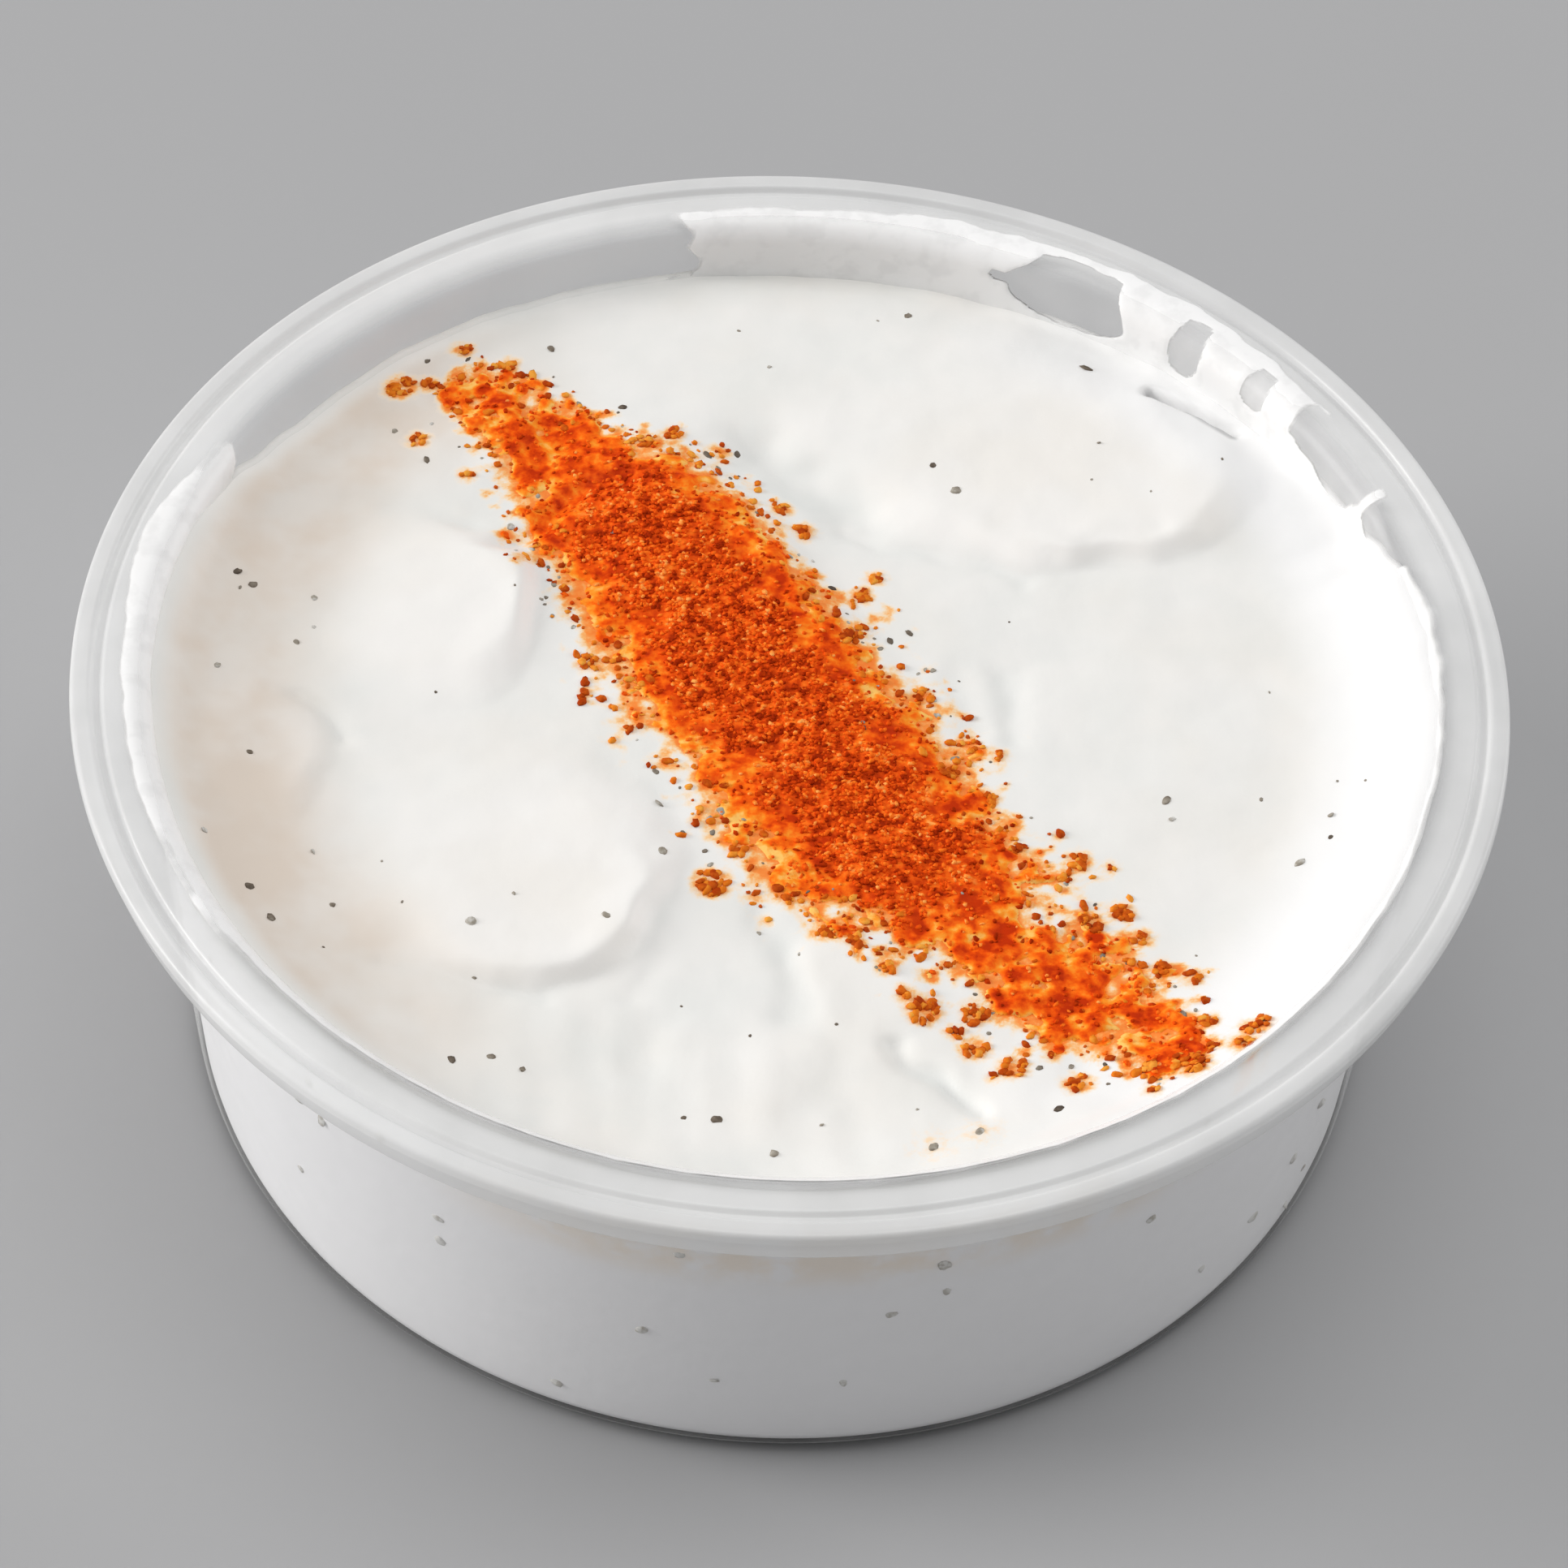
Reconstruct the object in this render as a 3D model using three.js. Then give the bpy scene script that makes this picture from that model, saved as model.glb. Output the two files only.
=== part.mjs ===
// A shallow round tub of translucent plastic, filled almost to its rim with a thick white
// yoghurt dip whose surface keeps the folds left by the spoon. Millimetres, Z up, with the
// origin under the middle of the tub and the side seen in front towards -Y.
import * as THREE from 'three';

// Driving sizes of the tub
const rimRadius = 58;
const tubHeight = 39.8;
const wallThickness = 0.9;
const baseRadius = 49.5;
const neckRadius = 52.15;
const neckHeight = 36.6;
const cornerRadius = 2.6;
const aroundSteps = 80;

// Foot ring under the floor
const footInnerRadius = 43.5;
const footHeight = 0.3;
const footSlope = 0.5;

// Rim: a raised bead outside, a narrow groove, then a ledge that rounds over into the wall
const beadRadius = 0.6;
const beadInnerRadius = 56.4;
const grooveOuterRadius = 56.1;
const grooveInnerRadius = 55.6;
const grooveDepth = 0.6;
const ledgeOuterRadius = 55.3;
const ledgeDrop = 0.2;
const ledgeRounding = 2.05;
const flangeThickness = 1.3;
const skirtDrop = 3.2;
const skirtLean = 0.6;
const underFillet = 0.8;

// The dip: its gap to the plastic, the rings that carry its surface, and its general level below
// the rim. From a share of the radius it is drawn up, ever steeper, and meets the wall smoothly.
const dipGap = 0.3;
const surfaceRings = 22;
const openLevel = 4.6;
const drawnUpFrom = 0.74;
const drawnUpPower = 2.2;
const meetsWallFrom = 0.95;

// How far below the rim the dip meets the wall, by compass angle from +X, in degrees.
// It is drawn up almost onto the ledge on the right and the left, and lies lowest at the back.
const wallLevels = [
  { at: -180, drop: 1.3 },
  { at: -150, drop: 1.6 },
  { at: -118, drop: 2.8 },
  { at: -90, drop: 3.2 },
  { at: -55, drop: 1.6 },
  { at: -10, drop: 0.6 },
  { at: 8, drop: 0.6 },
  { at: 15, drop: 0.8 },
  { at: 20, drop: 2.4 },
  { at: 25, drop: 3.8 },
  { at: 48, drop: 5.2 },
  { at: 75, drop: 5.9 },
  { at: 104, drop: 5.8 },
  { at: 130, drop: 5.2 },
  { at: 145, drop: 5.2 },
  { at: 151, drop: 4.4 },
  { at: 158, drop: 2.6 },
  { at: 166, drop: 1.6 },
  { at: 180, drop: 1.3 },
];

// Spooned lobes: middle, half sizes and turn in degrees, height over the open level, the slope up
// to the lip, the height of the lip, the direction it faces, and how crisp it is, from 0 to 1
const lobes = [
  { x: -31.3, y: 8.5, wide: 10.8, deep: 13, turn: 8, rise: 0.75, slope: 0.065, lip: 0.15, facing: 5, crisp: 0.8 },
  { x: -23.2, y: -18, wide: 16, deep: 14.5, turn: 12, rise: 0.7, slope: 0.045, lip: 0.22, facing: -42, crisp: 0.88 },
  { x: 15, y: 30.5, wide: 25, deep: 15, turn: -8, rise: 0.6, slope: 0.035, lip: 0.25, facing: -45, crisp: 0.88 },
  { x: 36, y: -9, wide: 18, deep: 28, turn: 6, rise: 0.25, slope: 0, lip: 0, facing: 0, crisp: 0.4 },
  { x: -4, y: 8, wide: 9.5, deep: 31, turn: 33, rise: 0.75, slope: 0.065, lip: 0.1, facing: 50, crisp: 0.6 },
  { x: 6, y: -41, wide: 25, deep: 8, turn: 6, rise: 0.35, slope: 0, lip: 0, facing: 0, crisp: 0.5 },
  { x: -42.5, y: -9, wide: 6, deep: 10, turn: 10, rise: 0.5, slope: 0, lip: 0.1, facing: 0, crisp: 0.7 },
  { x: 6.5, y: -30, wide: 6.5, deep: 8, turn: 20, rise: 0.5, slope: 0, lip: 0, facing: 180, crisp: 0.6 },
];
const lobeBlend = 0.12;
const softShoulder = 0.42;
const lipFocus = 3;
const lipWidth = 0.12;
const lobeEnd = 1.04;

// Wide valleys drawn by the spoon between the lobes
const valleys = [
  { from: [-3.5, 28.5], to: [4.5, 22.5], depth: 1.5, width: 3.0 },
  { from: [24.5, 17.4], to: [29.5, 20.0], depth: 0.35, width: 1.6 },
  { from: [-1.2, -23.0], to: [1.7, -33.5], depth: 0.32, width: 1.4 },
  { from: [17.8, 3.4], to: [17.8, -3.0], depth: 0.36, width: 1.5 },
];

const nearby = 0.01;
const degrees = Math.PI / 180;

function wallOuterRadius(z) {
  return baseRadius + (neckRadius - baseRadius) * z / neckHeight;
}

function wallInnerRadius(z) {
  return wallOuterRadius(z) - wallThickness;
}

function arc(centreX, centreZ, radius, startAngle, endAngle, steps) {
  const points = [];
  for (let i = 0; i <= steps; i++) {
    const angle = (startAngle + (endAngle - startAngle) * i / steps) * degrees;
    points.push(new THREE.Vector2(centreX + radius * Math.cos(angle), centreZ + radius * Math.sin(angle)));
  }
  return points;
}

function point(radius, z) {
  return new THREE.Vector2(radius, z);
}

// Section of the tub from the axis under the floor, out and up round the rim, and back inside
function tubSection() {
  const floorTop = footHeight + wallThickness;
  const underside = tubHeight - flangeThickness;
  const skirtBottom = tubHeight - skirtDrop;
  const ledgeTop = tubHeight - ledgeDrop;
  const wallTop = ledgeTop - ledgeRounding;
  const innerCorner = cornerRadius - wallThickness;
  const skirtOuter = rimRadius - skirtLean;
  const skirtInner = skirtOuter - wallThickness;
  const neckAtUnderside = wallOuterRadius(underside - underFillet);
  return [
    point(0, footHeight),
    point(footInnerRadius - footSlope, footHeight),
    point(footInnerRadius, 0),
    ...arc(wallOuterRadius(cornerRadius) - cornerRadius, cornerRadius, cornerRadius, -90, 0, 4),
    ...arc(neckAtUnderside + underFillet, underside - underFillet, underFillet, 180, 90, 2),
    point(skirtInner, underside),
    point(skirtInner, skirtBottom),
    point(skirtOuter, skirtBottom),
    ...arc(rimRadius - beadRadius, tubHeight - beadRadius, beadRadius, 0, 90, 3),
    point(beadInnerRadius, tubHeight),
    point(grooveOuterRadius, tubHeight - grooveDepth),
    point(grooveInnerRadius, tubHeight - grooveDepth),
    point(ledgeOuterRadius, ledgeTop),
    ...arc(wallInnerRadius(wallTop) + ledgeRounding, wallTop, ledgeRounding, 90, 180, 4),
    ...arc(wallInnerRadius(floorTop + innerCorner) - innerCorner, floorTop + innerCorner, innerCorner, 0, -90, 3),
    point(0, floorTop),
  ];
}

function revolved(section) {
  const geometry = new THREE.LatheGeometry(section, aroundSteps);
  geometry.rotateX(Math.PI / 2);
  return geometry;
}

function smoothStep(value) {
  const t = Math.min(Math.max(value, 0), 1);
  return t * t * (3 - 2 * t);
}

function smoothMax(a, b, blend) {
  const overlap = Math.max(blend - Math.abs(a - b), 0) / blend;
  return Math.max(a, b) + overlap * overlap * blend / 4;
}

// Drop of the dip's edge at one angle, eased between the two nearest entries of the list
function wallDrop(x, y) {
  const angle = Math.atan2(y, x) / degrees;
  let next = 1;
  while (next < wallLevels.length - 1 && wallLevels[next].at < angle) {
    next += 1;
  }
  const low = wallLevels[next - 1];
  const high = wallLevels[next];
  return low.drop + (high.drop - low.drop) * smoothStep((angle - low.at) / (high.at - low.at));
}

// Height of one lobe over the open level: soft at its back, crisp towards its lip
function lobeHeight(lobe, x, y) {
  const turn = lobe.turn * degrees;
  const facing = lobe.facing * degrees;
  const fromX = x - lobe.x;
  const fromY = y - lobe.y;
  const side = fromX * Math.cos(turn) + fromY * Math.sin(turn);
  const ahead = fromY * Math.cos(turn) - fromX * Math.sin(turn);
  const reach = Math.hypot(side / lobe.wide, ahead / lobe.deep);
  const forward = fromX * Math.cos(facing) + fromY * Math.sin(facing);
  const aheadOfLip = (0.5 + 0.5 * Math.cos(Math.atan2(fromY, fromX) - facing)) ** lipFocus;
  const shoulder = softShoulder + (lobe.crisp - softShoulder) * aheadOfLip;
  const lip = lobe.lip * aheadOfLip * Math.exp(-(((reach - shoulder) / lipWidth) ** 2));
  const raised = lobe.rise + lobe.slope * forward + lip;
  return raised * (1 - smoothStep((reach - shoulder) / (lobeEnd - shoulder)));
}

function valleyDepth(valley, x, y) {
  const runX = valley.to[0] - valley.from[0];
  const runY = valley.to[1] - valley.from[1];
  const length = Math.hypot(runX, runY);
  const along = ((x - valley.from[0]) * runX + (y - valley.from[1]) * runY) / length;
  const aside = ((y - valley.from[1]) * runX - (x - valley.from[0]) * runY) / length;
  const pastEnd = Math.max(-along, along - length, 0);
  return valley.depth * Math.exp(-(aside * aside + pastEnd * pastEnd) / (valley.width * valley.width));
}

// Height of the dip's surface over one point of the floor
function dipSurface(x, y) {
  let relief = 0;
  for (const lobe of lobes) {
    relief = smoothMax(relief, lobeHeight(lobe, x, y), lobeBlend);
  }
  for (const valley of valleys) {
    relief -= valleyDepth(valley, x, y);
  }
  const outward = Math.hypot(x, y) / wallInnerRadius(tubHeight);
  const drop = wallDrop(x, y);
  const climb = Math.min(Math.max((outward - drawnUpFrom) / (1 - drawnUpFrom), 0), 1);
  const drawnUp = climb ** drawnUpPower;
  const height = tubHeight - openLevel + relief + (openLevel - drop) * drawnUp;
  const nearWall = smoothStep((outward - meetsWallFrom) / (1 - meetsWallFrom));
  return height + (tubHeight - drop - height) * nearWall;
}

// The dip is revolved from a plain section, then every point of its top is set to the surface,
// and the outermost ring is moved out to the wall at its own height
function dipGeometry() {
  const bottom = footHeight + wallThickness + dipGap;
  const innerCorner = cornerRadius - wallThickness;
  const cornerHeight = bottom + innerCorner;
  const edgeRadius = wallInnerRadius(tubHeight - openLevel) - dipGap;
  const cornerMiddle = wallInnerRadius(cornerHeight) - dipGap - innerCorner;
  const section = [point(0, bottom), ...arc(cornerMiddle, cornerHeight, innerCorner, -90, 0, 3)];
  for (let ring = 0; ring <= surfaceRings; ring++) {
    section.push(point(edgeRadius * (1 - ring / surfaceRings), tubHeight));
  }
  const geometry = revolved(section);
  const position = geometry.attributes.position;
  for (let i = 0; i < position.count; i++) {
    if (position.getZ(i) < tubHeight - nearby) {
      continue;
    }
    const x = position.getX(i);
    const y = position.getY(i);
    const height = dipSurface(x, y);
    const onWall = Math.hypot(x, y) > edgeRadius - nearby;
    const stretch = onWall ? (wallInnerRadius(height) - dipGap) / edgeRadius : 1;
    position.setXYZ(i, x * stretch, y * stretch, height);
  }
  return geometry;
}

function namedMesh(name, geometry, colour, roughness) {
  const material = new THREE.MeshStandardMaterial({ color: colour, roughness, metalness: 0 });
  const mesh = new THREE.Mesh(geometry, material);
  mesh.name = name;
  return mesh;
}

const tub = namedMesh('tub', revolved(tubSection()), '#dfe1e3', 0.3);
tub.material.transparent = true;
tub.material.opacity = 0.45;

const tzatziki = namedMesh('tzatziki', dipGeometry(), '#f0eee9', 0.55);

const filledTub = new THREE.Group();
filledTub.add(tub, tzatziki);

export default filledTub;
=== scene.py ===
"""A round clear tub of white yoghurt dip with a stripe of ground red pepper across it."""

import math

import bmesh
import bpy
import numpy as np
from mathutils import Matrix, Vector


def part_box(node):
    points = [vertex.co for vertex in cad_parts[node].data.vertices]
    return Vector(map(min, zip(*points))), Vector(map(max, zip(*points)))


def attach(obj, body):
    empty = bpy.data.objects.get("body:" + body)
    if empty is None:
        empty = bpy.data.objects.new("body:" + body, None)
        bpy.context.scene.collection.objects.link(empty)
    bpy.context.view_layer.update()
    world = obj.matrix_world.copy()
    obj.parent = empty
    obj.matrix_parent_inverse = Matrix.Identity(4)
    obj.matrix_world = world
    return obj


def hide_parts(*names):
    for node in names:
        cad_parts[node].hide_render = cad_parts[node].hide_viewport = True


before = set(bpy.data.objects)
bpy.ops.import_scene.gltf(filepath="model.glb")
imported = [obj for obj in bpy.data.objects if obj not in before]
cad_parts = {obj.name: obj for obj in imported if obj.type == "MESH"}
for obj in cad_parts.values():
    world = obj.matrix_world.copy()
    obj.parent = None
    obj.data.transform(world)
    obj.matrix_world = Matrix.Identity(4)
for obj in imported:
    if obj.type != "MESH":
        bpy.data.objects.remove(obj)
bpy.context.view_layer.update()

MM = 0.001
_, tub_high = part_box("tub")

# Sizes of the tub in millimetres, as in the solid model
RIM_RADIUS = tub_high.x / MM
TUB_HEIGHT = tub_high.z / MM
WALL = 0.9
BASE_RADIUS = 49.5
NECK_RADIUS = 52.15
NECK_HEIGHT = 36.6
CORNER = 2.6
FOOT_INNER = 43.5
FOOT_HEIGHT = 0.3
FOOT_SLOPE = 0.5
BEAD_INNER = 56.4
GROOVE_OUTER = 56.1
GROOVE_INNER = 55.6
GROOVE_DEPTH = 0.6
LEDGE_OUTER = 55.3
LEDGE_DROP = 0.2
LEDGE_ROUNDING = 2.05
FLANGE = 1.3
SKIRT_DROP = 3.2
SKIRT_LEAN = 0.6
SKIRT_ROOT = 0.9
SKIRT_THICKNESS = 0.8
BEAD_HEIGHT = 0.9
BEAD_LEAN = 0.1
FLOOR_TOP = FOOT_HEIGHT + WALL
WALL_TOP = TUB_HEIGHT - LEDGE_DROP - LEDGE_ROUNDING
TURN_STEPS = 320

# How far the dip and the smear on the wall reach into the plastic, so that no air gap shows
WETTING = 0.45
SMEAR_WETTING = 0.12

# The dip's general level below the rim, and the blend between its folds
OPEN_LEVEL = 4.6
LOBE_BLEND = 0.12

# Shares of the wall's radius where the dip starts to be drawn up and where its edge starts
DRAWN_UP_FROM = 0.74
DRAWN_UP_POWER = 2.2
EDGE_FROM = 0.95
EDGE_BAND = 0.05

# The dip clings to the wall where it lies lower than CLING_FROM, with a faint hollow beside that edge
CLING_FROM = 0.6
CLING_RISE = 0.7
CLING_REACH = 0.8
HOLLOW_DEPTH = 0.2
HOLLOW_REACH = 2.0

# The dip's underside: how far it lies over the underside of the plastic, and its rounding
UNDERSIDE_LIFT = 0.15
UNDERSIDE_CORNER = 1.6

# How far below the rim the dip meets the wall: (angle from +X in degrees, drop)
WALL_LEVELS = (
    (-180, 1.3), (-150, 1.6), (-118, 2.8), (-90, 3.2), (-55, 1.6), (-10, 0.6), (8, 0.6), (15, 0.8),
    (20, 2.4), (25, 3.8), (48, 5.2), (75, 5.9), (104, 5.8), (130, 5.2), (145, 5.2), (151, 4.4),
    (158, 2.6), (166, 1.6), (180, 1.3),
)

# Spooned lobes: middle, half sizes and turn in degrees, height over the open level, the slope up
# to the lip, the height of the lip, the direction it faces and how crisp it is, from 0 to 1
LOBES = (
    (-31.3, 8.5, 10.8, 13, 8, 0.75, 0.065, 0.15, 5, 0.8),
    (-23.2, -18, 16, 14.5, 12, 0.7, 0.045, 0.22, -42, 0.88),
    (15, 30.5, 25, 15, -8, 0.6, 0.035, 0.25, -45, 0.88),
    (36, -9, 18, 28, 6, 0.25, 0, 0, 0, 0.4),
    (-4, 8, 9.5, 31, 33, 0.75, 0.065, 0.1, 50, 0.6),
    (6, -41, 25, 8, 6, 0.35, 0, 0, 0, 0.5),
    (-42.5, -9, 6, 10, 10, 0.5, 0, 0.1, 0, 0.7),
    (6.5, -30, 6.5, 8, 20, 0.5, 0, 0, 180, 0.6),
    (-28, 26.5, 8, 5, 40, 0.35, 0.03, 0.15, 60, 0.6),
)

# What all lobes share, as shares of their half sizes: where the soft back starts to fall, where the
# lobe ends and how wide the lip is; and the power that keeps the lip to the front
LOBE_BACK = 0.42
LOBE_END = 1.04
LIP_WIDTH = 0.12
LIP_FOCUS = 3

# The narrow cut near the wall, whose inside is painted dark as shadow: start, end, depth and width
CUT = ((29.4, 38.0), (36.4, 32.6), 1.7, 0.6)

# Narrow valleys drawn by the spoon: start, end, depth and width
VALLEYS = (
    ((-39.3, -1.9), (-36.5, -6), 0.45, 0.9),
    ((-9.9, -27.3), (-11.6, -31.6), 0.22, 1.1),
    ((-31, -29), (-18, -32.4), 0.22, 0.8),
    ((-3.5, 28.5), (4.5, 22.5), 1.5, 3),
    ((4, 19.3), (19, 15), 0.25, 0.8),
    ((24.5, 17.4), (29.5, 20), 0.35, 1.6),
    ((-1.2, -23), (1.7, -33.5), 0.32, 1.4),
    ((9.9, -35.6), (16.3, -42.2), 0.6, 0.85),
    ((13.7, 3), (14.1, -2), 0.3, 1.5),
    ((17.8, 3.4), (17.8, -3), 0.36, 1.5),
    ((-25, 16), (-15, 23.2), 0.6, 1),
    ((-9.5, -34), (-10.5, -37.5), 0.3, 1.8),
    ((-38, 20), (-27.5, 19), 0.3, 1.3),
    CUT,
)

# The stripe of spice: where it is centred, which way it runs, and along it its middle and half width
STRIPE_X = 0.6
STRIPE_Y = -1.7
STRIPE_ANGLE = math.radians(-52.4)
RUN_X = math.cos(STRIPE_ANGLE)
RUN_Y = math.sin(STRIPE_ANGLE)
STRIPE = (
    (-54, 0, 1), (-48, -0.5, 3.6), (-42, 0, 5), (-36, 0.3, 6.2), (-31, 1.3, 8), (-20, 1, 8.6),
    (-8, -0.6, 9.6), (4, -1, 9.6), (16, -2, 9.8), (24, -0.8, 9), (32, 0.2, 8), (38, 1.6, 6.6),
    (44, 3, 5.2), (50, 3.6, 2.6),
)


def smooth_step(value):
    """Eased from 0 to 1 while the value goes from 0 to 1."""
    t = np.clip(value, 0.0, 1.0)
    return t * t * (3.0 - 2.0 * t)


def smooth_max(a, b, blend):
    overlap = np.maximum(blend - np.abs(a - b), 0.0) / blend
    return np.maximum(a, b) + overlap * overlap * blend / 4.0


def bell(value, middle, width):
    """1 at the middle, falling off on both sides."""
    return np.exp(-(((value - middle) / width) ** 2))


def ripple(x, y, cell, seed):
    """Smooth noise between about -1 and 1 whose bumps are one cell wide."""
    lattice = 64
    rng = np.random.default_rng(seed)
    angle = rng.uniform(0.0, 2.0 * math.pi, (lattice, lattice))
    shift = rng.uniform(0.0, lattice, 2)
    gx = np.asarray(x) / cell + shift[0]
    gy = np.asarray(y) / cell + shift[1]
    ix = np.floor(gx).astype(int)
    iy = np.floor(gy).astype(int)
    fx = gx - ix
    fy = gy - iy

    def corner(dx, dy):
        a = angle[(ix + dx) % lattice, (iy + dy) % lattice]
        return np.cos(a) * (fx - dx) + np.sin(a) * (fy - dy)

    sx = smooth_step(fx)
    sy = smooth_step(fy)
    low = corner(0, 0) * (1 - sx) + corner(1, 0) * sx
    high = corner(0, 1) * (1 - sx) + corner(1, 1) * sx
    return (low * (1 - sy) + high * sy) * 1.5


def pebbles(x, y, cell, seed):
    """Rounded grains packed side by side: their height from 0 to 1, and a number from 0 to 1 for each."""
    lattice = 256
    rng = np.random.default_rng(seed)
    place = rng.uniform(0.1, 0.9, (lattice, lattice, 2))
    size = rng.uniform(0.75, 1.15, (lattice, lattice))
    tone = rng.uniform(0.0, 1.0, (lattice, lattice))
    gx = np.asarray(x) / cell
    gy = np.asarray(y) / cell
    ix = np.floor(gx).astype(int)
    iy = np.floor(gy).astype(int)
    height = np.zeros_like(gx)
    number = np.zeros_like(gx)
    for dx in (-1, 0, 1):
        for dy in (-1, 0, 1):
            a = (ix + dx) % lattice
            b = (iy + dy) % lattice
            away = np.hypot(gx - ix - dx - place[a, b, 0], gy - iy - dy - place[a, b, 1]) / size[a, b]
            dome = np.sqrt(np.clip(1.0 - away * away, 0.0, 1.0))
            higher = dome > height
            height = np.where(higher, dome, height)
            number = np.where(higher, tone[a, b], number)
    return height, number


def wall_outer(z):
    return BASE_RADIUS + (NECK_RADIUS - BASE_RADIUS) * z / NECK_HEIGHT


def wall_inner(z):
    """Inner radius of the tub at a height, with the rounding where the wall turns into the ledge."""
    straight = wall_outer(np.minimum(z, WALL_TOP)) - WALL
    rise = np.clip((z - WALL_TOP) / LEDGE_ROUNDING, 0.0, 1.0)
    return straight + LEDGE_ROUNDING * (1.0 - np.sqrt(1.0 - rise * rise))


def table_value(table, position, column):
    """A value eased between the two nearest rows of a table whose first column is the position."""
    rows = np.array(table, float)
    at = np.clip(np.searchsorted(rows[:, 0], position) - 1, 0, len(rows) - 2)
    t = smooth_step((position - rows[at, 0]) / (rows[at + 1, 0] - rows[at, 0]))
    return rows[at, column] * (1.0 - t) + rows[at + 1, column] * t


def wall_drop(x, y):
    return table_value(WALL_LEVELS, np.degrees(np.arctan2(y, x)), 1)


def lobe_height(lobe, x, y):
    """Height of one lobe over the open level: soft at its back, crisp at the lip."""
    middle_x, middle_y, wide, deep, turn, rise, slope, lip, facing, crisp = lobe
    turn = math.radians(turn)
    facing = math.radians(facing)
    from_x = x - middle_x
    from_y = y - middle_y
    side = from_x * math.cos(turn) + from_y * math.sin(turn)
    ahead = from_y * math.cos(turn) - from_x * math.sin(turn)
    reach = np.hypot(side / wide, ahead / deep)
    forward = from_x * math.cos(facing) + from_y * math.sin(facing)
    away = np.arctan2(from_y, from_x) - facing
    at_front = (0.5 + 0.5 * np.cos(away)) ** LIP_FOCUS
    shoulder = LOBE_BACK + (crisp - LOBE_BACK) * at_front
    raised = rise + slope * forward + lip * at_front * bell(reach, shoulder, LIP_WIDTH)
    return raised * (1.0 - smooth_step((reach - shoulder) / (LOBE_END - shoulder)))


def valley_depth(valley, x, y):
    (x0, y0), (x1, y1), depth, width = valley
    length = math.hypot(x1 - x0, y1 - y0)
    along = ((x - x0) * (x1 - x0) + (y - y0) * (y1 - y0)) / length
    aside = ((y - y0) * (x1 - x0) - (x - x0) * (y1 - y0)) / length
    past_end = np.maximum(np.maximum(-along, along - length), 0.0)
    return depth * np.exp(-(aside**2 + past_end**2) / width**2)


def dip_relief(x, y):
    """Height of the folds over the dip's open level, in millimetres."""
    wander_x = x + 1.3 * ripple(x, y, 9.0, 3) + 0.5 * ripple(x, y, 3.2, 5)
    wander_y = y + 1.3 * ripple(x, y, 9.0, 4) + 0.5 * ripple(x, y, 3.2, 6)
    relief = 0.2 * ripple(x, y, 13.0, 11)
    for lobe in LOBES:
        relief = smooth_max(relief, lobe_height(lobe, wander_x, wander_y), LOBE_BLEND)
    for valley in VALLEYS:
        relief = relief - valley_depth(valley, wander_x, wander_y)
    front = smooth_step((-31.0 - y) / 7.0)
    streaks = 0.22 * ripple(x, y * 0.4, 3.4, 17)
    return relief + 0.13 * ripple(x, y, 6.5, 12) + front * streaks


def dip_surface(x, y):
    """Height of the dip over one point of the floor, in millimetres."""
    wall = wall_outer(TUB_HEIGHT) - WALL
    outward = np.hypot(x, y) / wall
    relief = dip_relief(x, y) + 0.05 * ripple(x, y, 2.9, 13) + 0.008 * ripple(x, y, 1.1, 15)
    drop = wall_drop(x, y)
    drawn_up = np.clip((outward - DRAWN_UP_FROM) / (1.0 - DRAWN_UP_FROM), 0.0, 1.0) ** DRAWN_UP_POWER
    height = TUB_HEIGHT - OPEN_LEVEL + relief + (OPEN_LEVEL - drop) * drawn_up
    edge = TUB_HEIGHT - drop + 0.25 * ripple(x, y, 5.0, 14) + 0.06 * ripple(x, y, 1.8, 16)
    height = height + (edge - height) * smooth_step((outward - EDGE_FROM) / EDGE_BAND)
    from_wall = np.maximum(1.0 - outward, 0.0) * wall
    clinging = CLING_RISE * np.exp(-from_wall / CLING_REACH)
    clinging = clinging - HOLLOW_DEPTH * np.exp(-from_wall / HOLLOW_REACH)
    return height + np.clip(drop - CLING_FROM, 0.0, 1.0) * clinging


def stripe_frame(x, y):
    """Distance along the stripe and across it, in millimetres."""
    along = (x - STRIPE_X) * RUN_X + (y - STRIPE_Y) * RUN_Y
    across = (y - STRIPE_Y) * RUN_X - (x - STRIPE_X) * RUN_Y
    return along, across


def stripe_place(along, across):
    """The point of the dip at a place of the stripe."""
    return STRIPE_X + along * RUN_X - across * RUN_Y, STRIPE_Y + along * RUN_Y + across * RUN_X


def spice_off(x, y):
    """How far out in the stripe a point is: 0 on its middle line, 1 at its edge; and its place along."""
    along, across = stripe_frame(x, y)
    middle = table_value(STRIPE, along, 1)
    half = table_value(STRIPE, along, 2)
    return np.abs(across - middle) / half, along


def spice_cover(x, y):
    """How thickly the spice lies: about 1 in the middle of the stripe, 0 where it stops, less outside."""
    off, along = spice_off(x, y)
    ends = 0.5 * np.maximum(np.abs(along) - 46.5, 0.0)
    thinning = smooth_step((along - 10.0) / 20.0) + 0.9 * smooth_step((-26.0 - along) / 10.0)
    patches = 0.3 * ripple(x, y, 5.6, 21) + 0.55 * ripple(x, y, 2.4, 22) + 0.38 * ripple(x, y, 1.1, 23)
    broken = 0.2 + 0.7 * np.minimum(off, 1.3) ** 2 + 1.05 * thinning
    return 1.0 - off**2.1 - ends - (0.3 + 0.35 * np.minimum(off, 1.3)) * thinning + patches * broken


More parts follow.
